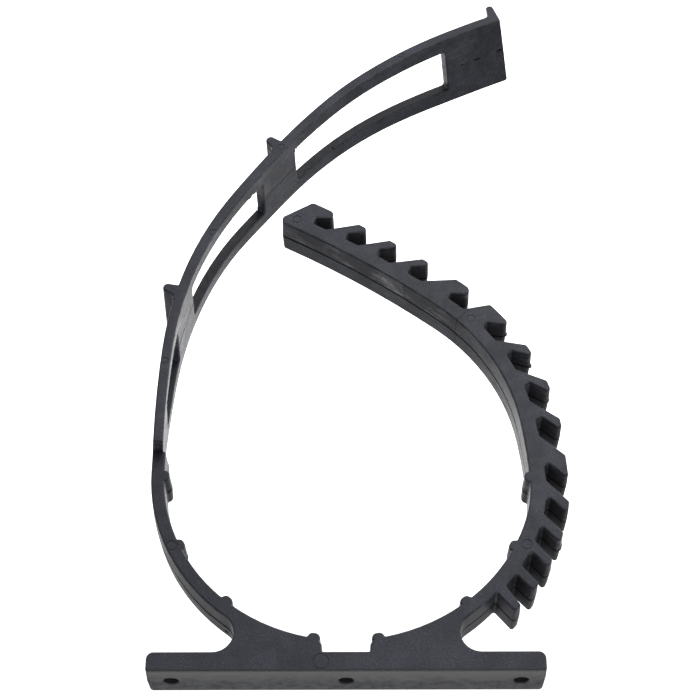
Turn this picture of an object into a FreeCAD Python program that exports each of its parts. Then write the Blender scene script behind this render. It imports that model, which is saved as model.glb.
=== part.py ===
"""Rubber clamp for tools and pipes: one moulded piece.

A flat base bar with three screw holes carries a round cradle. From the cradle
a toothed arm rises on the right and a plain arm on the left. The plain arm
widens into a long strap of two rails with two cross bars and an end pad. In
use the strap is pulled over the load and a cross bar hooks behind a tooth.

Frame: millimetres, Z up. The origin is the centre of the mounting face, on
the axis of the middle screw hole. X runs along the base, Y across it.
The clamp stands with both arms open, as it springs when it holds nothing.
"""
import FreeCAD
import Part
import math
import os

os.makedirs("parts", exist_ok=True)
V = FreeCAD.Vector

# base bar
base_length = 176.0
base_thick = 9.5
depth = 22.0              # across the base, the cradle and both arms
end_radius_top = 3.2
end_radius_foot = 2.0
hole_inset = 10.6         # end screw holes from the ends of the base
hole_dia = 6.6

# cradle: the lowest point of its inner face, and the gap left in the middle
seat_height = 14.9
recess_half = 10.7
recess_step = 3.4         # height of the straight part of the recess walls
recess_flare = 2.6        # the walls then lean outwards by this much
recess_slope = 4.2        # over this height
web_reach = 50.0          # the solid web fills both arms this far from the seat
root_radius = 9.2         # round root between the base bar and each arm

# inner faces of the arms as tangent arcs from the seat: (radius, degrees)
right_arm = [(87.2, 72.0), (60.0, 20.0), (281.0, 6.4), (105.7, 42.6), (509.0, 13.0)]
left_arm = [(85.0, 90.0)]
arm_thick = 6.3
left_rise = 10.8          # straight end of the plain arm, above its arc

# grip ribs on the inner faces, by distance from the seat
rib_stations = [14.8, 58.4, 94.6, 131.8]
rib_radius = 2.4
rib_spread = 0.9          # each rib is this much wider than round

# teeth on the outside of the right arm, all measured from its inner face
tooth_top = 19.2          # tooth tips on the upper part
tooth_top_low = 18.3      # tooth tips beside the cradle
tooth_low_until = 149.0   # where the lower tips end, by distance from the seat
tooth_floor = 7.5         # notch floors
# notches from the cradle up, by distance from the seat:
# (lower lip, floor start, floor end, inner corner, its height, upper lip)
notches = [
    (73.0, 75.4, 80.4, 82.3, 8.0, 80.5),
    (84.3, 87.3, 92.8, 94.9, 8.4, 91.8),
    (95.6, 100.2, 105.9, 107.6, 8.6, 103.4),
    (108.0, 113.6, 119.6, 121.5, 9.1, 115.6),
    (120.7, 129.4, 136.4, 138.1, 9.7, 129.5),
    (141.7, 152.8, 161.5, 162.3, 10.8, 153.3),
    (160.5, 171.4, 179.3, 180.6, 10.8, 172.3),
    (179.2, 189.2, 198.2, 198.7, 11.2, 191.2),
    (198.2, 207.2, 216.2, 216.8, 10.6, 209.4),
    (223.1, 229.6, 239.0, 239.4, 10.3, 229.6),
    (242.3, 255.5, 264.0, 264.4, 11.3, 255.5),
    (262.5, 274.4, 282.3, 283.0, 11.2, 274.6),
    (282.0, 293.8, 301.2, 301.8, 10.9, 292.2),
    (300.1, 312.6, 320.0, 320.7, 11.3, 306.0),
]
rack_start = (69.4, 70.5, 68.5)   # lower lip, root and end of the first tooth
notch_corner = 1.0
crest_low, crest_high = 1.2, 1.8  # round crests, below and above tooth_low_until
# round noses: (from this station on, radius); the last tooth is a hook with a blunt nose
noses = [(0.0, 1.3), (149.0, 1.6), (200.0, 1.8), (225.0, 2.8), (235.0, 1.8), (300.0, 2.7)]
end_round = 2.5           # corners of the end of the arm
end_round_low = 2.0       # and its corner with the inner face
arm_end = 334.0           # end face of the arm at its inner edge
arm_shoulder = 4.0        # height of the end face
arm_slope = 7.2           # the tooth tips end this far before the end face

# strap: inner face on the mid plane as tangent arcs: (length, radius)
strap_arcs = [(53.8, 611.0), (46.2, 211.0), (52.6, 182.0), (35.0, 1020.0), (37.4, 265.0),
              (37.0, 205.0), (38.0, 280.0), (39.5, 680.0)]
strap_start_x = -87.3
strap_start_heading = 89.7  # degrees; 90 is upright
strap_width = 41.7
strap_thick_low = 4.9
strap_thick = 5.5
strap_thick_end = 6.9     # the end pad is the thickest part
thicken_low = (20.0, 140.0)       # stations between which the strap thickens
thicken_high = (200.0, 330.0)     # and again, towards the pad
rail_width = 8.5
windows = [(25.3, 66.0), (94.0, 168.5), (196.7, 303.6)]
lug_stations = [88.6, 192.0]      # upper face of the two catch lugs on the cross bars
lug_height = 7.0
lug_thick = 4.9
lug_root = 3.1
lug_taper = 0.4           # each side of a lug leans in by this much
pull_height = 9.0         # pull rib along the free end of the strap
pull_nose = 2.1
pull_lean = 2.3           # how far the end leans outwards at the top of the rib
pull_root = 2.8
pull_taper = 1.6
rib_bed = 1.5             # ribs and lugs start this deep inside the strap
end_skew = 1.3            # the far corner of the end stands this much ahead
overlap = 2.0             # how far joined solids and cutting tools reach into each other
# the strap turns about its own length: (station, degrees); all 0 makes it flat
strap_turn = [(0.0, -5.6), (50.0, -2.7), (95.0, -1.9), (140.0, -1.4), (175.0, 0.8),
              (215.0, 3.0), (260.0, 8.5), (300.0, 14.0), (340.0, 14.0)]


def arc_point(arcs, station, offset, side=1.0):
    """Point and heading on a chain of (length, radius) arcs starting level."""
    x, z, heading, left = 0.0, seat_height, 0.0, station
    for length, radius in arcs:
        step = min(left, length)
        turn = step / radius
        x += radius * (math.sin(heading + turn) - math.sin(heading))
        z += radius * (math.cos(heading) - math.cos(heading + turn))
        heading += turn
        left -= step
        if left <= 1e-9:
            break
    x += left * math.cos(heading)
    z += left * math.sin(heading)
    x += offset * math.sin(heading)
    z -= offset * math.cos(heading)
    return V(side * x, 0, z), heading


def by_length(arcs):
    return [(radius * math.radians(deg), radius) for radius, deg in arcs]


RIGHT = by_length(right_arm)
LEFT = by_length(left_arm)
left_end = LEFT[0][0] + left_rise
half_depth = depth / 2.0


def band(arcs, start, stop, low, high, side=1.0):
    """Solid between two offsets of an arm curve, from one station to another."""
    marks, total = [start], 0.0
    for length, radius in arcs:
        total += length
        if start + 1e-6 < total < stop - 1e-6:
            marks.append(total)
    marks.append(stop)
    rows = []
    for offset in (low, high):
        edges = []
        for s0, s1 in zip(marks[:-1], marks[1:]):
            a, h0 = arc_point(arcs, s0, offset, side)
            b, h1 = arc_point(arcs, s1, offset, side)
            if abs(h1 - h0) < 1e-9:
                edges.append(Part.makeLine(a, b))
            else:
                m = arc_point(arcs, (s0 + s1) / 2.0, offset, side)[0]
                edges.append(Part.Arc(a, m, b).toShape())
        rows.append(edges)
    ends = []
    for s in (start, stop):
        a = arc_point(arcs, s, low, side)[0]
        b = arc_point(arcs, s, high, side)[0]
        ends.append(Part.makeLine(a, b))
    wire = Part.Wire(Part.__sortEdges__(rows[0] + rows[1] + ends))
    return through(wire)


def through(wire, half=None):
    """Extrude a closed wire in the XZ plane evenly about the mid plane."""
    half = half or half_depth
    wire.translate(V(0, -half, 0))
    return Part.Face(wire).extrude(V(0, 2.0 * half, 0))


def prism(points, half=None):
    pts = [V(x, 0, z) for x, z in points]
    return through(Part.makePolygon(pts + [pts[0]]), half)


# base bar with rounded ends
bl, bt = base_length / 2.0, base_thick
bar = prism([(-bl, 0), (bl, 0), (bl, bt), (-bl, bt)])
upright = [e for e in bar.Edges if abs(e.CenterOfMass.y) < 1e-6]
bar = bar.makeFillet(end_radius_top, [e for e in upright if e.CenterOfMass.z > bt / 2])
upright = [e for e in bar.Edges
           if abs(e.CenterOfMass.y) < 1e-6 and e.CenterOfMass.z < 0.1
           and abs(abs(e.CenterOfMass.x) - bl) < 0.1]
bar = bar.makeFillet(end_radius_foot, upright)


def web_side(arcs, side):
    """Root circle between base bar and arm: its centre and tangent points."""
    inner = arcs[0][1]
    outer = inner + arm_thick
    centre_z = seat_height + inner
    cz = bt + root_radius
    cx = math.sqrt((outer + root_radius) ** 2 - (centre_z - cz) ** 2)
    span = outer + root_radius
    touch = (cx * outer / span, centre_z + (cz - centre_z) * outer / span)
    return (side * cx, cz), (side * touch[0], touch[1])


(rcx, rcz), (rtx, rtz) = web_side(RIGHT, 1.0)
(lcx, lcz), (ltx, ltz) = web_side(LEFT, -1.0)


def root_arc(cx, cz, tx, tz, side):
    start = V(cx, 0, cz - root_radius)
    end = V(tx, 0, tz)
    a = math.atan2(tz - cz, tx - cx)
    b = -math.pi / 2
    if side > 0:
        mid = (a + b + 2 * math.pi) / 2.0
    else:
        mid = (a + b) / 2.0
    m = V(cx + root_radius * math.cos(mid), 0, cz + root_radius * math.sin(mid))
    return Part.Arc(start, m, end).toShape()


inside = arm_thick / 2.0
r_in = arc_point(RIGHT, web_reach, inside)[0]
l_in = arc_point(LEFT, web_reach, inside, -1.0)[0]
seat_mid = V(0, 0, seat_height - inside)
web_edges = [
    root_arc(rcx, rcz, rtx, rtz, 1.0),
    Part.makeLine(V(rtx, 0, rtz), r_in),
    Part.Arc(r_in, arc_point(RIGHT, web_reach / 2, inside)[0], seat_mid).toShape(),
    Part.Arc(seat_mid, arc_point(LEFT, web_reach / 2, inside, -1.0)[0], l_in).toShape(),
    Part.makeLine(l_in, V(ltx, 0, ltz)),
    root_arc(lcx, lcz, ltx, ltz, -1.0),
    Part.makeLine(V(lcx, 0, bt), V(lcx, 0, bt - overlap)),
    Part.makeLine(V(lcx, 0, bt - overlap), V(rcx, 0, bt - overlap)),
    Part.makeLine(V(rcx, 0, bt - overlap), V(rcx, 0, bt)),
]
web = through(Part.Wire(Part.__sortEdges__(web_edges)))

# arms
rack_stop = arm_end + arm_slope   # trimmed later to the sloping end of the arm
right = band(RIGHT, 0.0, rack_stop, 0.0, arm_thick)
back = band(RIGHT, rack_start[1], rack_stop, arm_thick - overlap, tooth_floor)
left = band(LEFT, 0.0, left_end, 0.0, arm_thick, -1.0)

# toothed rack: two thick bands with the notches cut out of them
rack = band(RIGHT, rack_start[2], tooth_low_until, arm_thick - overlap, tooth_top_low)
rack = rack.fuse(band(RIGHT, tooth_low_until, rack_stop, arm_thick - overlap, tooth_top))


def on_arm(station, offset):
    p = arc_point(RIGHT, station, offset)[0]
    return (p.x, p.z)


def past(a, b, extra):
    """Point on the line from a through b, a little beyond b."""
    run = math.hypot(b[0] - a[0], b[1] - a[1])
    return (b[0] + (b[0] - a[0]) * extra / run, b[1] + (b[1] - a[1]) * extra / run)


def lip_height(station):
    return tooth_top_low if station < tooth_low_until else tooth_top


floor_band = band(RIGHT, rack_start[0] - tooth_top, rack_stop + overlap, -overlap, tooth_floor)
wide = half_depth + overlap
crests, tips, roots = [], [], []
for low, start, stop, corner, height, high in notches:
    c = on_arm(corner, height)
    f = on_arm(stop, tooth_floor)
    b = on_arm(start, tooth_floor)
    t = on_arm(high, lip_height(high))
    u = on_arm(low, lip_height(low))
    tips.append((t, [r for station, r in noses if station < high][-1]))
    crests.append((u, crest_low if low < tooth_low_until else crest_high))
    roots += [c, f, b]
    shape = [past(c, t, tooth_top), c, past(c, f, overlap / 2), past(u, b, overlap / 2),
             past(b, u, tooth_floor)]
    rack = rack.cut(prism(shape, wide).cut(floor_band))

# the first tooth ends in an open wall
c = on_arm(rack_start[1], arm_thick)
t = on_arm(rack_start[0], tooth_top_low)
tips.append((t, noses[0][1]))
roots.append(c)
rack = rack.cut(prism([past(t, c, overlap), past(c, t, tooth_floor),
                       on_arm(rack_start[0] - tooth_top, tooth_top + tooth_floor),
                       on_arm(rack_start[1] - tooth_top, 0.0)], wide))

# the sloping end of the arm
a0 = on_arm(arm_end, 0.0)
a1 = (a0[0], a0[1] + arm_shoulder)
a2 = on_arm(arm_end - arm_slope, tooth_top)
far = 3.0 * tooth_top
end_cut = prism([(a0[0], a0[1] - far / 2), a1, a2, past(a1, a2, far / 4),
                 (a1[0] - far, a1[1] + far * 0.7), (a1[0] - far, a0[1] - far / 2)],
                wide)

ribs = []
for arcs, side in ((RIGHT, 1.0), (LEFT, -1.0)):
    for station in rib_stations:
        for s in (station, station - rib_spread):
            c = arc_point(arcs, s, 0.0, side)[0]
            ribs.append(Part.makeCylinder(rib_radius, depth,
                                          V(c.x, -half_depth, c.z), V(0, 1, 0)))

# strap: one long slab that turns about its own length
strap_length = sum(length for length, radius in strap_arcs)
half_w = strap_width / 2.0
strap_start_z = seat_height + LEFT[0][1] + left_rise


def strap_frame(station):
    """Mid point of the inner face, directions along, across and inwards."""
    tilt = math.radians(strap_start_heading)
    x, z, heading, left = strap_start_x, strap_start_z, tilt, station
    if station < 0:
        x += station * math.cos(heading)
        z += station * math.sin(heading)
        left = 0.0
    for length, radius in strap_arcs:
        step = min(left, length)
        turn = step / radius
        x += radius * (math.sin(heading) - math.sin(heading - turn))
        z += radius * (math.cos(heading - turn) - math.cos(heading))
        heading -= turn
        left -= step
        if left <= 1e-9:
            break
    along = V(math.cos(heading), 0, math.sin(heading))
    inward = V(math.sin(heading), 0, -math.cos(heading))
    angle = math.radians(turn_at(station))
    across = V(0, 1, 0) * math.cos(angle) + inward * math.sin(angle)
    square = inward * math.cos(angle) - V(0, 1, 0) * math.sin(angle)
    return V(x, 0, z), along, across, square


def turn_at(station):
    """Turn of the strap about its own length, smooth through strap_turn."""
    pts = strap_turn
    if station <= pts[0][0]:
        return pts[0][1]
    for k in range(len(pts) - 1):
        (s0, a0), (s1, a1) = pts[k], pts[k + 1]
        if station <= s1 or k == len(pts) - 2:
            before = pts[k - 1] if k else pts[k]
            after = pts[k + 2] if k + 2 < len(pts) else pts[k + 1]
            m0 = (a1 - before[1]) / (s1 - before[0])
            m1 = (after[1] - a0) / (after[0] - s0)
            w = s1 - s0
            t = min((station - s0) / w, 1.0)
            return ((2 * t ** 3 - 3 * t ** 2 + 1) * a0 + (t ** 3 - 2 * t ** 2 + t) * w * m0
                    + (3 * t ** 2 - 2 * t ** 3) * a1 + (t ** 3 - t ** 2) * w * m1)


def share(station, span):
    """How far a station is along a span, from 0 to 1."""
    return min(max((station - span[0]) / (span[1] - span[0]), 0.0), 1.0)


def thick_at(station):
    t = share(station, thicken_low)
    low = strap_thick_low + (strap_thick - strap_thick_low) * t * t * (3 - 2 * t)
    t = share(station, thicken_high)
    return low + (strap_thick_end - strap_thick) * t


def skew_at(station):
    """How far the strap runs askew, growing over the end pad only."""
    return end_skew * share(station, (windows[-1][1], strap_length))


def strap_slab(start, stop, half_low, half_high, inner, outer, pieces):
    """Twisted slab between two stations; inner and outer are face offsets."""
    stations = [start + (stop - start) * k / pieces for k in range(pieces + 1)]
    rails = [[], [], [], []]
    for s in stations:
        p, along, across, square = strap_frame(s)
        t = thick_at(s) + outer
        across = across + along * (skew_at(s) / half_w)
        rails[0].append(p + across * half_low + square * inner)
        rails[1].append(p + across * half_high + square * inner)
        rails[2].append(p + across * half_high - square * t)
        rails[3].append(p + across * half_low - square * t)
    curves = []
    for pts in rails:
        c = Part.BSplineCurve()
        c.interpolate(pts)
        curves.append(c.toShape())
    faces = [Part.makeRuledSurface(curves[k], curves[(k + 1) % 4]) for k in range(4)]
    for k in (0, -1):
        loop = [rails[i][k] for i in range(4)]
        faces.append(Part.Face(Part.makePolygon(loop + [loop[0]])))
    shell = Part.Shell(faces)
    shell.sewShape()
    solid = Part.Solid(shell)
    if solid.Volume < 0:
        solid.reverse()
    return solid


strap = strap_slab(-0.4, strap_length, -half_w, half_w, 0.0, 0.0, 26)
for start, stop in windows:
    pieces = max(4, int((stop - start) / 13.0))
    hole = strap_slab(start, stop, -(half_w - rail_width), half_w - rail_width,
                      overlap, overlap, pieces)
    strap = strap.cut(hole)

body = bar.multiFuse([web, right, back, rack, left])
body = body.cut(end_cut).removeSplitter()


def upright_edges(shape, points, reach=0.6):
    """Straight edges across the whole depth that pass through given points."""
    found = []
    for e in shape.Edges:
        m = e.CenterOfMass
        if e.Curve.TypeId != "Part::GeomLine" or abs(m.y) > 0.01:
            continue
        if abs(e.tangentAt(e.FirstParameter).y) < 0.99 or e.Length < depth - 0.1:
            continue
        if any(math.hypot(m.x - x, m.z - z) < reach for x, z in points):
            found.append(e)
    return found


def rounded(shape, points, radius, what):
    """Round the picked edges; leave them sharp if that can't be done."""
    edges = upright_edges(shape, points)
    try:
        out = shape.makeFillet(radius, edges)
        if out.isValid() and len(out.Solids) == 1:
            print("rounded", what, radius, ":", len(edges), "of", len(points))
            return out
    except Exception as err:
        print("fillet failed", err)
    print("left sharp:", what, len(edges))
    return shape


for what, picks in (("noses", tips), ("crests", crests)):
    for radius in sorted({r for point, r in picks}, reverse=True):
        body = rounded(body, [point for point, r in picks if r == radius], radius, what)
body = rounded(body, roots, notch_corner, "notch corners")
body = rounded(body, [a1, a2], end_round, "arm end")
body = rounded(body, [a0], end_round_low, "arm end, inner corner")

# flat recess in the middle of the cradle, over the middle screw
rh, rz = recess_half, bt + recess_step
ro, rs, rt = rh + recess_flare, rz + recess_slope, seat_height + rh
body = body.cut(prism([(-rh, bt), (rh, bt), (rh, rz), (ro, rs), (ro, rt), (-ro, rt),
                       (-ro, rs), (-rh, rz)], wide))


def strap_rib(station, profile, skew=0.0):
    """Rib across the strap; profile pieces are in mm along and away from it."""
    p, along, across, square = strap_frame(station)
    run = across * strap_width + along * (2.0 * skew)
    start = p - across * half_w - along * skew

    def at(point):
        return start + along * point[0] - square * point[1]

    edges = []
    for piece in profile:
        pts = [at(q) for q in piece]
        if len(pts) == 3:
            edges.append(Part.Arc(pts[0], pts[1], pts[2]).toShape())
        else:
            edges.append(Part.makeLine(pts[0], pts[1]))
    rib = Part.Face(Part.Wire(edges)).extrude(run)
    if rib.Volume < 0:
        rib.reverse()
    return rib


strap_ribs = []
for station in lug_stations:
    top = thick_at(station)
    nose_r = lug_thick / 2.0
    c, q = nose_r + lug_taper, lug_root * math.sqrt(0.5)
    rise = lug_height - nose_r
    left = c + nose_r + lug_taper
    foot = left + lug_root
    profile = [
        [(0.0, rib_bed), (0.0, top + lug_taper)],
        [(0.0, top + lug_taper), (-(c - nose_r), top + rise)],
        [(-(c - nose_r), top + rise), (-c, top + lug_height), (-(c + nose_r), top + rise)],
        [(-(c + nose_r), top + rise), (-left, top + lug_root)],
        [(-left, top + lug_root), (-foot + q, top + lug_root - q), (-foot, top)],
        [(-foot, top), (-foot, rib_bed)],
        [(-foot, rib_bed), (0.0, rib_bed)],
    ]
    strap_ribs.append(strap_rib(station, profile))

# the pull rib leans outwards at the free end, with a round root on its other side
top = thick_at(strap_length)
crest = top + pull_height
lean, r, q = pull_lean, pull_nose, pull_root * math.sqrt(0.5)
back_top = lean - 2 * r
back_low = back_top - pull_taper
foot = back_low - pull_root
strap_ribs.append(strap_rib(strap_length, [
    [(0.0, 0.0), (lean, crest - r)],
    [(lean, crest - r), (lean - r, crest), (back_top, crest - r)],
    [(back_top, crest - r), (back_low, top + pull_root)],
    [(back_low, top + pull_root), (foot + q, top + pull_root - q), (foot, top - 0.1)],
    [(foot, top - 0.1), (foot, rib_bed)],
    [(foot, rib_bed), (-0.6, 0.0)],
    [(-0.6, 0.0), (0.0, 0.0)],
], end_skew))

body = body.multiFuse(ribs + [strap] + strap_ribs)

# three screw holes through the base bar
reach = base_length / 2.0 - hole_inset
for x in (-reach, 0.0, reach):
    body = body.cut(Part.makeCylinder(hole_dia / 2.0, bt + overlap, V(x, 0, -overlap / 2)))
body = body.removeSplitter()
print("body", body.isValid(), len(body.Solids), round(body.Volume))
Part.Shape(body).exportStep("parts/clamp.step")
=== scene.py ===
# %% [markdown]
# # A rubber clamp, dressed
# The real object is one moulding of black rubber: a base bar, a round cradle, a toothed arm and
# a long strap with windows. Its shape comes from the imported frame. What is left for this script
# is what a mould and a year in a drawer do to rubber: soft rims, a parting line, the round marks
# of the ejector pins, small flakes of flash, a fine grain and a pale sheen at a low angle.

# %% Load the frame
import bmesh
import bpy
import math
from mathutils import Matrix, Quaternion, Vector, noise
from mathutils.bvhtree import BVHTree


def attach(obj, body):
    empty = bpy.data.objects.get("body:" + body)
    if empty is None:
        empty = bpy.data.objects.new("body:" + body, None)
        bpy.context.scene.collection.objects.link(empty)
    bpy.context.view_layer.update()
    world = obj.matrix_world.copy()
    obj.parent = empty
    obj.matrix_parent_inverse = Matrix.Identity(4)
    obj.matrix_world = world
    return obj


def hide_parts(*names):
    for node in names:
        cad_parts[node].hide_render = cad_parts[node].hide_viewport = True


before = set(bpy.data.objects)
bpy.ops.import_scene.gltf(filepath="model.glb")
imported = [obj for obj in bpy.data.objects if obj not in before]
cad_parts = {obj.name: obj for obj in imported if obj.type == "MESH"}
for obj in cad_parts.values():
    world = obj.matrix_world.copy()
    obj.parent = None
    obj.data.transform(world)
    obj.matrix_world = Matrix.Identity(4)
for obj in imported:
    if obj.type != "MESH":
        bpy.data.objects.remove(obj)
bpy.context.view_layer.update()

# %% [markdown]
# ## Camera first
# The photograph was taken from the open side of the base, a third of a right angle below it, so
# the lens looks up along the clamp. The camera could be placed by eye, but a measured view lets
# every later difference be read straight off the render. So its place, its three angles and its
# lens are written as they were solved from the straight edges of the base bar and the arms.

# %% Place the camera
MM = 0.001
camera_spot = Vector((3.537, -717.19, -291.173)) * MM
camera_rise = math.radians(32.994)
camera_swing = math.radians(-0.1266)
camera_roll = math.radians(0.1007)
film_width = 36.0
lens_length = 88.43

look = Vector((math.sin(camera_swing) * math.cos(camera_rise),
               math.cos(camera_swing) * math.cos(camera_rise),
               math.sin(camera_rise)))
camera = bpy.data.objects.new("camera", bpy.data.cameras.new("camera"))
camera.data.sensor_width = film_width
camera.data.lens = lens_length
camera.rotation_mode = "QUATERNION"
camera.rotation_quaternion = (look.to_track_quat("-Z", "Y")
                              @ Quaternion((0, 0, 1), -camera_roll))
camera.location = camera_spot
bpy.context.collection.objects.link(camera)
bpy.context.scene.camera = camera
print("camera", [round(x, 4) for x in camera.location])

# %% [markdown]
# ## The skin
# Rubber leaves the mould with soft rims: every edge of the real clamp is rounded by a little
# under a millimetre. The frame's solid has sharp rims. A bevel modifier could soften them, but
# the solid's flat sides are cut into fans of thin triangles that a bevel trips over. So the
# solid is copied, flat neighbours are melted together, and only then are the rims rounded.
# Points, edges and faces are kept in dictionaries and never in sets, because a set hands them
# back in another order each time, and the skin has to come out the same in every run.

# %% Copy the solid and melt its flat faces together
weld = 2e-6
flat_angle = math.radians(0.25)
sliver = 0.06 * MM
crumb = 0.2 * MM
thin_rounds = 6
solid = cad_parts["clamp"]

shape = bmesh.new()
shape.from_mesh(solid.data)
bmesh.ops.remove_doubles(shape, verts=shape.verts, dist=weld)


def melt(mesh):
    """Joins neighbours that lie in one plane."""
    bmesh.ops.dissolve_limit(mesh, angle_limit=flat_angle, verts=mesh.verts, edges=mesh.edges,
                             delimit=set())


melt(shape)
for turn in range(thin_rounds):
    thin = [f for f in shape.faces if 2 * f.calc_area() < sliver * f.calc_perimeter()]
    longest = dict.fromkeys(max(f.edges, key=lambda e: e.calc_length()) for f in thin)
    bmesh.ops.dissolve_edges(shape, edges=list(longest), use_verts=False, use_face_split=False)
bmesh.ops.remove_doubles(shape, verts=shape.verts, dist=crumb)
melt(shape)
loose = [e for e in shape.edges if not e.link_faces]
bmesh.ops.delete(shape, geom=loose, context="EDGES")
print("melted skin:", len(shape.faces), "faces")

# %% [markdown]
# ## Corners and rims
# The inner corners of the windows and the free corner of the pad are rounder than the rims, as a
# round cutter leaves them in a mould. One bevel over all edges would give them the radius of the
# rims. So these few corners are found and rounded first, and the rims, which then run round
# them, come second.

# %% Find the corners
strap_low = 0.125
corner_angle = math.radians(60)
wall_length = (4.3 * MM, 8.5 * MM)
wall_place = (10.5 * MM, 14.5 * MM)
wall_lean = 2.5 * MM
end_from = (0.088, 15 * MM, 0.36)
end_length = 3 * MM
end_lean = 3.5 * MM


def through_strap(edge):
    """True for an inner corner of a window: a short edge through the thickness of the strap."""
    a, b = edge.verts[0].co, edge.verts[1].co
    middle = (a + b) / 2
    return (len(edge.link_faces) == 2 and middle.z > strap_low
            and wall_length[0] < edge.calc_length() < wall_length[1]
            and abs(a.y - b.y) < wall_lean
            and wall_place[0] < abs(middle.y) < wall_place[1]
            and not edge.is_convex and edge.calc_face_angle() > corner_angle)


def at_free_end(edge):
    """True for an outer corner of the pad at its free end: an edge through its thickness."""
    a, b = edge.verts[0].co, edge.verts[1].co
    return (len(edge.link_faces) == 2 and min(a.x, b.x) > end_from[0]
            and min(abs(a.y), abs(b.y)) > end_from[1] and min(a.z, b.z) > end_from[2]
            and abs(a.y - b.y) < end_lean and edge.calc_length() > end_length
            and edge.is_convex and edge.calc_face_angle() > corner_angle)


print("corners:", sum(through_strap(e) for e in shape.edges), "of the windows,",
      sum(at_free_end(e) for e in shape.edges), "of the free end")

# %% Round the corners
corner_radius = 1.6 * MM
end_radius = 1.6 * MM
corner_steps = 4
short = 0.8 * MM

# a very short edge beside the corner would squeeze the rounding, so it is drawn into the corner
lowest = min((v for e in shape.edges if at_free_end(e) for v in e.verts), key=lambda v: v.co.z)
close = [e.other_vert(lowest) for e in lowest.link_edges if e.calc_length() < short]
bmesh.ops.pointmerge(shape, verts=[lowest] + close, merge_co=lowest.co.copy())

for name, wanted, radius in (("windows", through_strap, corner_radius),
                             ("free end", at_free_end, end_radius)):
    corners = [e for e in shape.edges if wanted(e)]
    print("corners rounded,", name + ":", len(corners))
    bmesh.ops.bevel(shape, geom=corners, offset=radius, offset_type="OFFSET",
                    segments=corner_steps, profile=0.5, affect="EDGES", clamp_overlap=False)

# %% Round the rims
rim_radius = 0.85 * MM
rim_steps = 3
rim_angle = math.radians(38)
step_reach = -0.07
step_low = 0.108
step_high = 0.112


def rim(edge):
    """True for a sharp edge, but not for the inner corner under the step of the strap."""
    if len(edge.link_faces) != 2 or edge.calc_face_angle() < rim_angle:
        return False
    a, b = edge.verts[0].co, edge.verts[1].co
    under_step = (max(a.x, b.x) < step_reach and step_low < min(a.z, b.z)
                  and max(a.z, b.z) < step_high and not edge.is_convex)
    return not under_step


rims = [e for e in shape.edges if rim(e)]
bmesh.ops.bevel(shape, geom=rims, offset=rim_radius, offset_type="OFFSET",
                segments=rim_steps, profile=0.5, affect="EDGES", clamp_overlap=False)
bmesh.ops.recalc_face_normals(shape, faces=shape.faces)
print("rims rounded:", len(rims), "edges")

# %% [markdown]
# ## Parting line
# The mould has two halves that meet at mid depth. Each half tapers a little so that the rubber
# lets go, and the two never meet exactly. On the real clamp that shows as a dark fine groove
# round every side. The back half is a hair smaller than the front one on the toothed arm, and a
# hair larger on the plain arm. A dark stripe of colour would be quicker, but from the side it
# would look painted on. Three cuts through the skin and a small push along the surface give the
# taper, the step and the groove as real shape.

# %% Measures of the parting line
half_depth = 11 * MM
groove_half = 0.75 * MM
groove_depth = 1.1 * MM
wander = 0.45 * MM
taper = 0.35 * MM
step_back = {"toothed arm": 0.08 * MM, "plain arm": -0.12 * MM}
hole_places = (-77.4 * MM, 0.0, 77.4 * MM)
hole_reach = 4.2 * MM
print("groove, mm:", round(2 * groove_half / MM, 2), "wide,", round(groove_depth / MM, 2), "deep")


# %% Helpers for the parting line
def slice_skin(mesh, faces, spot, way):
    """Cuts faces of the skin with a plane and returns the new points."""
    edges = dict.fromkeys(e for f in faces for e in f.edges)
    points = dict.fromkeys(v for f in faces for v in f.verts)
    made = bmesh.ops.bisect_plane(mesh, geom=list(points) + list(edges) + faces, dist=1e-7,
                                  plane_co=spot, plane_no=way)
    return [v for v in made["geom_cut"] if isinstance(v, bmesh.types.BMVert)]


def on_strap(spot):
    """True on the strap, which starts at the step of the plain arm."""
    return (spot.x < -60 * MM and spot.z > 118 * MM) or spot.z > 258 * MM


def parting_strength(spot):
    """How plainly the parting line shows: not underneath, and only in places on the strap."""
    if spot.z < 0.3 * MM or (spot.z < 10 * MM and min(
            math.hypot(spot.x - x, spot.y) for x in hole_places) < hole_reach):
        return 0.0
    if on_strap(spot):
        return 0.12 + 0.5 * max(0.0, noise.noise(spot * 90.0))
    return 0.85 + 0.3 * noise.noise(spot * 120.0)


arm_spot = Vector((0.090, 0, 0.120))
print("groove strength on the toothed arm:", round(parting_strength(arm_spot), 2))

# %% Cut the skin along the parting line
shape.normal_update()
groove_mark = shape.verts.layers.float.new("groove")
rises = {-groove_half: taper, 0.0: taper - groove_depth, groove_half: taper}
rows = {y: slice_skin(shape, shape.faces[:], (0, y, 0), (0, 1, 0)) for y in rises}
shape.normal_update()
seam = {v: (v.co.copy(), v.normal.copy()) for v in rows[0.0]}
seam_links = [(e.verts[0], e.verts[1]) for e in shape.edges
              if e.verts[0] in seam and e.verts[1] in seam]
print("parting line:", [len(points) for points in rows.values()], "points")

# %% Push the three rows to their places
moves = []
for y, points in rows.items():
    for v in points:
        strength = parting_strength(v.co)
        half = "toothed arm" if v.co.x > -20 * MM else "plain arm"
        rise = rises[y] - (step_back[half] if y > 0 else 0.0)
        rise *= strength * min(v.calc_shell_factor(), 1.5)
        drift = Vector((0, wander * strength * noise.noise(Vector((v.co.x, 0, v.co.z)) * 45.0), 0))
        moves.append((v, v.normal * rise + drift))
        v[groove_mark] = strength if y == 0.0 else 0.0
for v, push in moves:
    v.co += push
print("furthest push, mm:", round(max(push.length for v, push in moves) / MM, 2))

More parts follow.
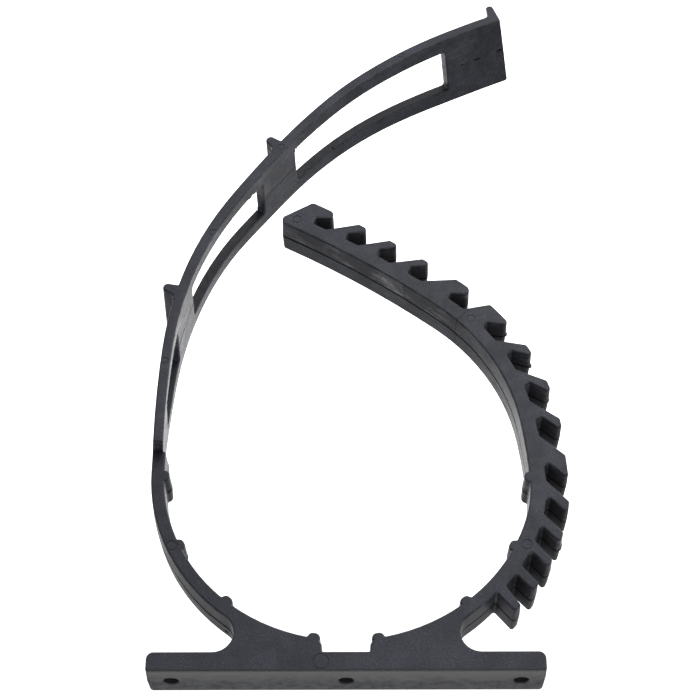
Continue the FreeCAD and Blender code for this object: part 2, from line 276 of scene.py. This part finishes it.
# %% Follow the parting line from point to point
beside = {v: [] for v in seam}
for a, b in seam_links:
    beside[a].append(b)
    beside[b].append(a)
runs = []
waiting = dict.fromkeys(seam)
while waiting:
    start = min(waiting, key=lambda v: (v.index, v.co.x, v.co.z))
    run = [start]
    waiting.pop(start)
    while True:
        ahead = [v for v in beside[run[-1]] if v in waiting]
        if not ahead:
            break
        run.append(ahead[0])
        waiting.pop(ahead[0])
    if start in beside[run[-1]] and len(run) > 2:
        run.append(start)
    runs.append([seam[v] for v in run])
print("parting line runs:", sorted(len(run) for run in runs)[-6:])

# %% [markdown]
# ## Two teeth that hang
# Near the base, two thin teeth of the real rack hang a little lower at the back than in front.
# They could be bent in the solid, but a catch bar has to fit every notch there, and the sag is
# only how this one clamp has aged. So the skin gets a soft push that grows from front to back
# and fades out round the two teeth.

# %% Let two low teeth hang a little at the back
droop_centre = Vector((0.086, 0, 0.050))
droop_reach = 18 * MM
droop = Vector((-0.5, 0, -0.86)) * 1.5 * MM
hung = 0
for v in shape.verts:
    near = math.hypot(v.co.x - droop_centre.x, v.co.z - droop_centre.z) / droop_reach
    if near < 1.0:
        v.co += droop * (1 - near ** 2) ** 2 * (v.co.y + half_depth) / (2 * half_depth)
        hung += 1
print("teeth that hang:", hung, "points moved")

# %% [markdown]
# ## Split line of the mould
# The toothed arm was made in two mould inserts. Where they meet, a hairline crosses the front of
# the arm between two teeth and runs on over its inner face. A thin dark line in the material
# would show it from one side only. It is cut as the parting line is, only finer.

# %% Cut the hairline
hair_spot = Vector((57.7, 0, 187.9)) * MM
hair_way = Vector((0.733, 0, -0.680))
hair_half = 0.16 * MM
hair_depth = 0.22 * MM
hair_reach = 14 * MM


def near_hair(spot):
    """True close to the split line."""
    return math.hypot(spot.x - hair_spot.x, spot.z - hair_spot.z) < hair_reach


def cut_hair(mesh, shift):
    """Cuts only the faces that the plane of the split line crosses."""
    spot = hair_spot + hair_way * shift
    faces = [f for f in mesh.faces
             if any(near_hair(v.co) for v in f.verts) and
             min((v.co - spot).dot(hair_way) for v in f.verts) < 0 <
             max((v.co - spot).dot(hair_way) for v in f.verts)]
    return [v for v in slice_skin(mesh, faces, spot, hair_way) if near_hair(v.co)]


for shift in (-hair_half, hair_half):
    cut_hair(shape, shift)
middle = cut_hair(shape, 0.0)
shape.normal_update()
for v, push in [(v, -v.normal * hair_depth) for v in middle]:
    v.co += push
print("hairline:", len(middle), "points")

# %% [markdown]
# ## Ejector marks and pits
# Pins push the clamp out of the mould, and each leaves a shallow round dent. A few gas pits came
# with the casting, and three dark marks lie along the seam of the pad. Bump in the material
# could fake them, but it shows nothing in outline and is lost where the mesh is used alone. So
# all are pressed into the skin with one boolean cut, as real dents that any light finds.

# %% Make the skin an object
skin_mesh = bpy.data.meshes.new("clamp_skin")
bmesh.ops.recalc_face_normals(shape, faces=shape.faces)
shape.to_mesh(skin_mesh)
finder = BVHTree.FromBMesh(shape)
shape.free()
skin = bpy.data.objects.new("clamp_skin", skin_mesh)
bpy.context.collection.objects.link(skin)
print("skin:", len(skin_mesh.polygons), "faces")

# %% Shape the stamps of the pins
pin_depth = 0.07 * MM
pin_rim_depth = 0.26 * MM
pin_rim_width = 0.36 * MM
pin_steps = 40
# each mark: a point near its middle, and how far it is across, in millimetres
pin_marks = [((-11.0, -11.0, 4.9), 7.2), ((-79.4, -11.0, 61.5), 5.0), ((82.6, -11.0, 61.5), 5.0),
             ((62.0, -11.0, 186.0), 4.2), ((-25.2, -11.0, 247.9), 4.6),
             ((-33.7, -20.8, 288.0), 3.8), ((-67.2, -20.9, 232.3), 3.8),
             ((30.0, -19.7, 353.0), 3.8), ((-87.0, -21.0, 155.4), 3.6)]


def pin_stamp(mesh, where, radius):
    """A round stamp with a deeper rim, which leaves a flat disc inside a ring."""
    inner = radius - pin_rim_width
    profile = [(inner, -pin_depth), (inner, -pin_rim_depth), (radius, -pin_rim_depth),
               (radius, pin_rim_depth)]
    rings = [[mesh.verts.new(where @ Vector((r * math.cos(turn), r * math.sin(turn), z)))
              for turn in (2 * math.pi * k / pin_steps for k in range(pin_steps))]
             for r, z in profile]
    for low, high in zip(rings[:-1], rings[1:]):
        for k in range(pin_steps):
            ahead = (k + 1) % pin_steps
            mesh.faces.new((low[k], low[ahead], high[ahead], high[k]))
    mesh.faces.new(rings[0][::-1])
    mesh.faces.new(rings[-1])


stamps = bmesh.new()
for spot, wide in pin_marks:
    place, way, face, gap = finder.find_nearest(Vector(spot) * MM)
    turn = way.to_track_quat("Z", "Y").to_matrix().to_4x4()
    pin_stamp(stamps, Matrix.Translation(place) @ turn, wide * MM / 2)
print("pin stamps:", len(pin_marks))

# %% Shape the stamps of the pits
# each pit: a point near its middle, its length, width and depth, in millimetres
pits = [((-7.4, 12.4, 314.5), 1.2, 1.2, 0.4), ((-26.2, 13.8, 292.0), 0.9, 0.9, 0.3),
        ((-34.9, 1.5, 281.1), 0.9, 0.9, 0.3), ((-54.0, 5.8, 26.3), 2.2, 2.2, 0.7),
        ((86.2, -1.3, 373.7), 5.5, 1.2, 0.6), ((73.1, -0.6, 367.4), 5.0, 1.0, 0.5),
        ((64.6, -0.4, 363.2), 2.2, 0.7, 0.4)]
pit_way = Vector((0.90, 0, 0.44))
pit_shade_depth = 0.1 * MM
pit_floors = []
for spot, length, width, depth in pits:
    place, way, face, gap = finder.find_nearest(Vector(spot) * MM)
    along = (pit_way - way * pit_way.dot(way)).normalized()
    turn = Matrix((along, way.cross(along), way)).transposed().to_4x4()
    size = Matrix.Diagonal((length * MM / 2, width * MM / 2, depth * MM, 1))
    bmesh.ops.create_icosphere(stamps, subdivisions=3, radius=1.0,
                               matrix=Matrix.Translation(place) @ turn @ size)
    pit_floors.append((place, way, length * MM))
print("pit stamps:", len(pits))

# %% Press the marks
bmesh.ops.recalc_face_normals(stamps, faces=stamps.faces)
stamp_mesh = bpy.data.meshes.new("stamps")
stamps.to_mesh(stamp_mesh)
stamps.free()
stamp = bpy.data.objects.new("stamps", stamp_mesh)
bpy.context.collection.objects.link(stamp)
press = skin.modifiers.new("press the marks", "BOOLEAN")
press.operation = "DIFFERENCE"
press.solver = "EXACT"
press.object = stamp
bpy.context.view_layer.update()
pressed = bpy.data.meshes.new_from_object(
    skin.evaluated_get(bpy.context.evaluated_depsgraph_get()))
skin.modifiers.clear()
skin.data = pressed
bpy.data.objects.remove(stamp)
print("marks pressed:", len(pin_marks) + len(pits), "->", len(pressed.polygons), "faces")

# %% Keep the groove's mark in the groove, and mark the floors of the pits
# this mark paints shade into the groove and the pits in the material
painted_dark = 0
for point, mark in zip(pressed.vertices, pressed.attributes["groove"].data):
    in_pit = any((point.co - place).length < reach and (point.co - place).dot(way) < -pit_shade_depth
                 for place, way, reach in pit_floors)
    if in_pit:
        mark.value = 1.0
        painted_dark += 1
    elif abs(point.co.y) > groove_half + wander:
        mark.value = 0.0
print("dirty floors of pits:", painted_dark, "points")

# %% [markdown]
# ## Shading and place
# A moulding is smooth along its curves and crisp at its small steps. Smooth shading alone would
# smear light over the flat faces, and flat shading would show every cut of the arcs. So the skin
# is smooth, edges over a set angle stay crisp, and the larger faces lead the shading.

# %% Smooth shading with crisp steps
crisp_angle = math.radians(40)
groove_angle = math.radians(12)
pressed.shade_smooth()
creases = bmesh.new()
creases.from_mesh(pressed)
for edge in creases.edges:
    in_groove = max(abs(v.co.y) for v in edge.verts) < groove_half + wander
    limit = groove_angle if in_groove else crisp_angle
    edge.smooth = len(edge.link_faces) == 2 and edge.calc_face_angle() < limit
print("crisp edges:", sum(not edge.smooth for edge in creases.edges), "of", len(creases.edges))
creases.to_mesh(pressed)
creases.free()

# %% Put the skin in the solid's place
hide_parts("clamp")
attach(skin, "root")
level = skin.modifiers.new("flat faces stay flat", "WEIGHTED_NORMAL")
level.keep_sharp = True
print("the skin stands for the solid", solid.name)

# %% [markdown]
# ## Flash
# A little rubber creeps out between the mould halves and stays on as thin torn fins, mostly on
# the teeth and down in the notches. They could be scattered as loose flakes, but real flash
# grows out of the parting line. So each fin follows that line, is rooted under the groove, and
# rises and falls with noise. A few larger flakes stand where the real clamp has them, and one
# torn web is left at the top of the middle window.

# %% Measures of the flash
fin_step = 0.5 * MM
fin_root = 1.2 * MM
fin_thick = 0.26 * MM
fin_least = 0.05 * MM
fin_usual = 0.9 * MM
# each flake: x and z of its middle, how far it stands out, how far it reaches along the line
flakes = [(80.2, 183.7, 1.3, 3.0), (92.1, 164.7, 1.2, 3.0), (99.3, 145.6, 1.1, 3.0),
          (99.4, 64.9, 1.3, 3.0), (89.8, 163.8, 1.4, 2.5)]
print("larger flakes of flash:", len(flakes))


# %% How high the flash stands
def fin_height(spot):
    """How far the flash stands out at a place on the parting line."""
    if on_strap(spot) or spot.z < 12 * MM:
        return 0.0
    tall = fin_usual * max(0.0, noise.noise(spot * 160.0) - 0.28)
    for x, z, size, reach in flakes:
        away = math.hypot(spot.x - x * MM, spot.z - z * MM)
        tall += size * MM * max(0.0, 1.0 - away / (reach * MM)) ** 0.5
    return tall * (0.75 + 0.25 * noise.noise(spot * 1500.0))


tallest = max(fin_height(Vector((x * MM, 0, z * MM))) for x, z, size, reach in flakes)
print("tallest flake, mm:", round(tallest / MM, 2))


# %% Helpers for the fins
def even_steps(run):
    """Places along a run of the parting line, no further apart than a step."""
    for (a, way_a), (b, way_b) in zip(run[:-1], run[1:]):
        count = max(1, math.ceil((b - a).length / fin_step))
        for k in range(count):
            yield a.lerp(b, k / count), way_a.lerp(way_b, k / count).normalized()
    yield run[-1]


def fin(mesh, places, flat=Vector((0, 1, 0))):
    """A closed fin: a flat spearhead in section, drawn out along its places."""
    ring = []
    for spot, way, tall in places:
        lean = noise.noise(spot * 400.0) * 0.35 * tall
        low, high = spot - way * fin_root, spot + way * tall + flat * lean
        ring.append([mesh.verts.new(low - flat * fin_thick / 2),
                     mesh.verts.new(low + flat * fin_thick / 2),
                     mesh.verts.new(high + flat * fin_thick / 6),
                     mesh.verts.new(high - flat * fin_thick / 6)])
    for near, far in zip(ring[:-1], ring[1:]):
        for k in range(4):
            mesh.faces.new((near[k], near[(k + 1) % 4], far[(k + 1) % 4], far[k]))
    mesh.faces.new(ring[0][::-1])
    mesh.faces.new(ring[-1])


longest_run = max(runs, key=len)
print("steps along the longest run:", len(list(even_steps(longest_run))))

# %% Raise the fins of flash
fins = bmesh.new()
count = 0
for run in runs:
    stretch = []
    for spot, way in list(even_steps(run)) + [(None, None)]:
        tall = fin_height(spot) if spot else 0.0
        if tall > fin_least:
            stretch.append((spot, way, tall))
        else:
            if len(stretch) > 2:
                fin(fins, stretch)
                count += 1
            stretch = []
print("fins:", count)

# %% Raise the torn web
torn_from = Vector((-49.6, -12.6, 259.6)) * MM
torn_to = Vector((-43.0, -12.6, 267.6)) * MM
torn_width = 3.4 * MM
torn_below = 0.5 * MM
torn_steps = 20
tie = 1e-7
across_strap = Vector((0, 1, 0))
web = []
for k in range(torn_steps + 1):
    spot = torn_from.lerp(torn_to, k / torn_steps)
    place, way, face, gap = finder.find_nearest(spot)
    # on a rim two faces are equally near, and the one that turns least to the back always leads
    nearest = finder.find_nearest_range(spot, gap + tie)
    way = min((hit[1] for hit in nearest), key=lambda out: out.y)
    ragged = 0.9 + 0.4 * noise.noise(place * 700.0)
    tall = torn_width * (0.45 + 0.55 * k / torn_steps) * ragged
    web.append((place - way * torn_below, across_strap, tall))
fin(fins, web, (torn_to - torn_from).cross(across_strap).normalized())
print("torn web from, mm:", [round(x / MM, 1) for x in web[0][0]])
print("torn web to, mm:", [round(x / MM, 1) for x in web[-1][0]])

# %% Make the flash an object
bmesh.ops.recalc_face_normals(fins, faces=fins.faces)
flash_mesh = bpy.data.meshes.new("flash")
fins.to_mesh(flash_mesh)
fins.free()
flash = bpy.data.objects.new("flash", flash_mesh)
bpy.context.collection.objects.link(flash)
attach(flash, "root")
print("flash:", len(flash_mesh.polygons), "faces")

# %% [markdown]
# ## Rubber
# Black rubber is never quite black. Carbon black leaves a cool dark grey, the mould leaves a fine
# grain, and bloom and scuffs leave it paler in places. Pictures wrapped round the clamp could
# show that, but they would need a seam and one fixed sharpness. So it all comes from noise
# measured in metres on the object, which keeps its size from every side.

# %% Helpers for nodes
node_settings = ("operation", "data_type", "interpolation_type")


def empty_tree(owner):
    """Turns on the nodes of a material or a world, and clears them."""
    owner.use_nodes = True
    owner.node_tree.nodes.clear()
    return owner.node_tree


def add(tree, kind, **values):
    """A node with its sockets set: a value, or another node's output to link."""
    made = tree.nodes.new(kind)
    for name in [name for name in values if name in node_settings]:
        setattr(made, name, values.pop(name))
    for name, value in values.items():
        key = int(name[1:]) if name[0] == "_" else name.replace("_", " ")
        if isinstance(value, bpy.types.NodeSocket):
            tree.links.new(value, made.inputs[key])
        else:
            made.inputs[key].default_value = value
    return made


print("settings that add() sets on a node:", node_settings)


# %% Helpers for numbers
def ramp(tree, source, low, high, to_low=0.0, to_high=1.0, kind="LINEAR"):
    """Stretches a value between two limits."""
    return add(tree, "ShaderNodeMapRange", interpolation_type=kind, Value=source, From_Min=low,
               From_Max=high, To_Min=to_low, To_Max=to_high).outputs["Result"]


def sums(tree, how, a, b=0.5):
    """A sum with one or two values."""
    return add(tree, "ShaderNodeMath", operation=how, _0=a, _1=b).outputs[0]


def times(tree, a, b):
    """One value times another."""
    return sums(tree, "MULTIPLY", a, b)


print("helpers for numbers:", [helper.__name__ for helper in (ramp, sums, times)])


# %% Helpers for noise, distance and mixing
def speckle(tree, place, scale, detail, roughness, distortion=0.0):
    """Noise on the object, with its scale in waves per metre."""
    return add(tree, "ShaderNodeTexNoise", Vector=place, Scale=scale, Detail=detail,
               Roughness=roughness, Distortion=distortion).outputs["Fac"]


def away_from(tree, place, spot):
    """How far a place is from a spot, in metres."""
    return add(tree, "ShaderNodeVectorMath", operation="DISTANCE", _0=place,
               _1=spot).outputs["Value"]


def blend(tree, share, under, over):
    """Mixes two colours; each is a colour or a socket."""
    under, over = (colour if isinstance(colour, bpy.types.NodeSocket) else (*colour, 1)
                   for colour in (under, over))
    return add(tree, "ShaderNodeMix", data_type="RGBA", _0=share, _6=under, _7=over).outputs[2]


def between(tree, share, low, high):
    """Mixes two numbers."""
    return add(tree, "ShaderNodeMix", data_type="FLOAT", _0=share, _2=low, _3=high).outputs[0]


print("helpers for looks:", [helper.__name__ for helper in (speckle, away_from, blend, between)])

# %% Colours and places of the rubber
coal = (0.0215, 0.0238, 0.0365)    # bare rubber
slate = (0.0510, 0.0555, 0.0800)   # rubber under its bloom
chalk = (0.260, 0.262, 0.268)      # dust, worn rims and the torn edge; on the rims and the underside also painted light
painted_shade = (0.0280, 0.0280, 0.0310)    # painted shade: in the pockets, and a line just above the underside
painted_deep_shade = (0.0080, 0.0090, 0.0150)     # painted deep shade: the groove, the pits and the far window walls
pale = (0.2700, 0.2650, 0.2600)    # painted light: the underside paler towards its front
scuff = (0.4400, 0.4420, 0.4500)   # scuffs on the sides
rub_spot = (0.030, -0.008, 0.212)
clean_spot = (-0.088, -0.011, 0.075)
torn_spot = (-0.046, -0.006, 0.271)
pocket_reach = 12 * MM
print("rubber, from darkest to palest:", painted_deep_shade, "to", scuff)

# %% Where a point of the rubber lies
rubber = bpy.data.materials.new("black_rubber")
tree = empty_tree(rubber)
where = add(tree, "ShaderNodeTexCoord")
place = where.outputs["Object"]
across = add(tree, "ShaderNodeSeparateXYZ", Vector=where.outputs["Normal"]).outputs["Y"]
front = sums(tree, "ABSOLUTE", across)
side = ramp(tree, front, 0.25, 0.75, 1.0, 0.0)
spot = add(tree, "ShaderNodeSeparateXYZ", Vector=place)
deep, high = spot.outputs["Y"], spot.outputs["Z"]
handled = ramp(tree, deep, -1 * MM, 1 * MM, 1.0, 0.25)
screwed = ramp(tree, high, 0.1 * MM, 0.6 * MM, 1.0, 0.0)
print("places:", len(tree.nodes), "nodes")

# %% Four kinds of noise
cloud = speckle(tree, place, 60.0, 4.0, 0.6)
mottle = speckle(tree, place, 230.0, 4.0, 0.65)
grain = speckle(tree, place, 1100.0, 3.0, 0.7)
drawn = add(tree, "ShaderNodeVectorMath", operation="MULTIPLY", _0=place,
            _1=(80.0, 620.0, 80.0)).outputs[0]
streak = speckle(tree, drawn, 1.0, 4.0, 0.65, 0.9)
print("with noise:", len(tree.nodes), "nodes")

# %% Bloom, dust and scuffs
tone = sums(tree, "ADD", times(tree, cloud, 0.4), times(tree, mottle, 0.25))
tone = sums(tree, "ADD", tone, times(tree, grain, 0.35))
bloom = ramp(tree, away_from(tree, place, clean_spot), 40 * MM, 80 * MM, 0.15, 1.0)
colour = blend(tree, times(tree, ramp(tree, tone, 0.44, 0.56), bloom), coal, slate)
dust = times(tree, ramp(tree, grain, 0.60, 0.70), ramp(tree, cloud, 0.42, 0.60))
colour = blend(tree, times(tree, dust, 0.5), colour, chalk)
rub = times(tree, ramp(tree, streak, 0.45, 0.60), side)
rub = times(tree, rub, ramp(tree, cloud, 0.42, 0.60, 0.15, 1.0))
rub = times(tree, rub, handled)
rub = times(tree, rub, ramp(tree, away_from(tree, place, rub_spot), 15 * MM, 50 * MM, 1.0, 0.45))
rub = times(tree, rub, ramp(tree, high, 0.26, 0.30, 1.0, 0.3))
colour = blend(tree, rub, colour, scuff)
print("with bloom, dust and scuffs:", len(tree.nodes), "nodes")

# %% Underside, torn edge, rims and walls: dust and wear, with painted light and painted shade
# the underside: dust, and painted light that makes the whole bottom face paler
underside_dust_and_light = times(tree, screwed, ramp(tree, mottle, 0.38, 0.62, 0.02, 0.42))
colour = blend(tree, underside_dust_and_light, colour, chalk)
# painted light: the underside paler towards its front edge
painted_underside_light = times(tree, screwed, ramp(tree, deep, -10 * MM, 2 * MM, 1.0, 0.0))
colour = blend(tree, painted_underside_light, colour, pale)
torn = ramp(tree, away_from(tree, place, torn_spot), 3 * MM, 9 * MM, 1.0, 0.0)
colour = blend(tree, times(tree, torn, mottle), colour, chalk)
# rims: wear, and a painted highlight along every rim
on_rim = times(tree, ramp(tree, front, 0.20, 0.40), ramp(tree, front, 0.80, 0.97, 1.0, 0.0))
rim_wear_and_highlight = times(tree, on_rim, ramp(tree, mottle, 0.40, 0.62, 0.03, 0.25))
colour = blend(tree, rim_wear_and_highlight, colour, chalk)
# painted shade: a dark line round the clamp just above the underside
low = times(tree, ramp(tree, high, 0.4 * MM, 0.8 * MM),
            ramp(tree, high, 1.1 * MM, 1.6 * MM, 0.8, 0.0))
colour = blend(tree, low, colour, painted_shade)
# painted shade on the far walls of the windows, which face the front
inside = times(tree, ramp(tree, deep, 5 * MM, 9 * MM, 0.0, 0.85),
               ramp(tree, across, -0.95, -0.70, 1.0, 0.0))
colour = blend(tree, inside, colour, painted_deep_shade)
print("with underside, rims and walls:", len(tree.nodes), "nodes")

# %% [markdown]
# ## Painted shade
# Shade falls between the teeth, in the pits and in the groove of the parting line, and here it
# is painted into the colour as a darker grey. It could be painted by hand, but every notch would
# need its own stroke. So the Ambient Occlusion node feels how closed in a point is, and the groove
# and the pits carry a mark in the mesh. The flat fronts and the torn edge are kept free of this
# painted shade, as on the real clamp.

# %% Painted shade in the pockets and in the groove
sheltered = tree.nodes.new("ShaderNodeAmbientOcclusion")
sheltered.samples = 8
sheltered.only_local = True
sheltered.inputs["Distance"].default_value = pocket_reach
open_air = ramp(tree, sheltered.outputs["AO"], 0.24, 0.76)
outside = times(tree, ramp(tree, front, 0.90, 0.99, 0.0, 0.85),
                ramp(tree, deep, -10 * MM, -9 * MM, 1.0, 0.0))
kept_unshaded = sums(tree, "MAXIMUM", outside, ramp(tree, torn, 0.0, 0.5))
open_air = sums(tree, "MAXIMUM", open_air, kept_unshaded)
groove = tree.nodes.new("ShaderNodeAttribute")
groove.attribute_name = "groove"
no_groove_shade = ramp(tree, groove.outputs["Fac"], 0.05, 0.40, 1.0, 0.0)
clean = times(tree, open_air, no_groove_shade)
# painted shade: darker where the Ambient Occlusion node finds a pocket, darkest in the groove and
# the pits
colour = blend(tree, no_groove_shade, painted_deep_shade, blend(tree, open_air, painted_shade, colour))
print("with dirt:", len(tree.nodes), "nodes")

# %% [markdown]
# ## Gloss and relief
# The rubber is matt in front, as from a blasted mould, and shines a little along the sides, as
# from one that was polished in strokes. A single roughness would make it look like plastic. So
# the gloss follows the same noise as the colour, the pockets, the groove and the pits take it
# away, and the same grain and strokes give a fine relief.

# %% Gloss and relief
grain_height = 0.00022
stroke_height = 0.00015
pocket_roughness = 0.85
matt = ramp(tree, mottle, 0.3, 0.7, 0.44, 0.60)
shine = ramp(tree, streak, 0.35, 0.65, 0.30, 0.50)
roughness = between(tree, clean, pocket_roughness, between(tree, side, matt, shine))
relief = sums(tree, "ADD", grain, times(tree, mottle, 0.8))
bump = add(tree, "ShaderNodeBump", Strength=0.55, Distance=grain_height, Height=relief)
lined = add(tree, "ShaderNodeBump", Strength=0.35, Distance=stroke_height,
            Height=times(tree, streak, side), Normal=bump.outputs["Normal"])
shader = add(tree, "ShaderNodeBsdfPrincipled", Base_Color=colour, Roughness=roughness,
             Normal=lined.outputs["Normal"])
shader.inputs["IOR"].default_value = 1.5
add(tree, "ShaderNodeOutputMaterial", Surface=shader.outputs["BSDF"])
for piece in (skin, flash):
    piece.data.materials.clear()
    piece.data.materials.append(rubber)
print("material", rubber.name, "with", len(tree.nodes), "nodes")

# %% [markdown]
# ## Stage and light
# The clamp is shown on white with no shadow from below, because the photograph looks up at it.
# A white room all round would do that, but it would light every side alike and the rubber would
# look flat. So only the camera sees the world white. For the clamp it is a plain grey room,
# brighter behind and above, and three soft lamps light its front. The floor is a plain pale
# sheet that only a camera above it sees, so other views stand on it.

# %% World
room_level = 0.32
wall_level = 1.2
wall_span = (-0.25, 0.35)
soft_level = 0.54
below_level = 0.65
ground_span = (-0.6, 0.4)
low_level = 0.36
high_level = 1.8
horizon_span = (0.14, 0.60)
world = bpy.data.worlds.new("studio")
bpy.context.scene.world = world
sky = empty_tree(world)
toward = add(sky, "ShaderNodeTexCoord").outputs["Generated"]
way = add(sky, "ShaderNodeSeparateXYZ", Vector=toward)
wall = ramp(sky, way.outputs["Y"], *wall_span, room_level, wall_level, kind="SMOOTHSTEP")
ground = ramp(sky, way.outputs["Z"], *ground_span, below_level * soft_level, soft_level,
              kind="SMOOTHSTEP")
horizon = ramp(sky, way.outputs["Z"], *horizon_span, low_level, high_level, kind="SMOOTHSTEP")
ray = add(sky, "ShaderNodeLightPath")
height_share = ramp(sky, ray.outputs["Is Diffuse Ray"], 0.0, 1.0, horizon, ground)
seen = sums(sky, "MAXIMUM", times(sky, wall, height_share), ray.outputs["Is Camera Ray"])
glow = add(sky, "ShaderNodeBackground", Color=(1, 1, 1, 1), Strength=seen)
add(sky, "ShaderNodeOutputWorld", Surface=glow.outputs["Background"])
print("world", world.name, "with", len(sky.nodes), "nodes")

# %% Floor
floor_size = 6.0
floor_grey = 0.86
floor_drop = -0.0002
edge = floor_size / 2
floor_mesh = bpy.data.meshes.new("floor")
floor_mesh.from_pydata([(-edge, -edge, 0), (edge, -edge, 0), (edge, edge, 0), (-edge, edge, 0)],
                       [], [(0, 1, 2, 3)])
floor = bpy.data.objects.new("floor", floor_mesh)
bpy.context.collection.objects.link(floor)
floor.visible_diffuse = False
floor.visible_glossy = False
floor.visible_transmission = False
floor.visible_shadow = False
floor.location.z = floor_drop
paint = bpy.data.materials.new("pale_floor")
tree = empty_tree(paint)
facing = add(tree, "ShaderNodeNewGeometry")
above = add(tree, "ShaderNodeBsdfDiffuse", Color=(floor_grey, floor_grey, floor_grey, 1))
below = add(tree, "ShaderNodeBsdfTransparent")
both = add(tree, "ShaderNodeMixShader", _0=facing.outputs["Backfacing"], _1=above.outputs[0],
           _2=below.outputs[0])
add(tree, "ShaderNodeOutputMaterial", Surface=both.outputs[0])
floor_mesh.materials.append(paint)
print("floor, metres across:", floor_size)

# %% Lamps
lamp_aim = (0, 0, 0.2)
# each lamp: its name, its place, how far across it is, its power in watts
lamps = [("key", (0.4, -2.0, 1.6), 1.4, 17.5), ("fill", (1.6, -1.2, 0.9), 1.6, 9.0),
         ("bounce", (0.5, -1.2, -1.0), 1.6, 3.5)]
for name, stand, wide, power in lamps:
    lamp = bpy.data.objects.new(name, bpy.data.lights.new(name, "AREA"))
    lamp.data.shape = "DISK"
    lamp.data.size = wide
    lamp.data.energy = power
    lamp.location = stand
    lamp.rotation_mode = "QUATERNION"
    lamp.rotation_quaternion = (Vector(lamp_aim) - Vector(stand)).to_track_quat("-Z", "Y")
    bpy.context.collection.objects.link(lamp)
print("lamps:", [name for name, stand, wide, power in lamps])

# %% Finish
bpy.context.scene.view_settings.view_transform = "Standard"
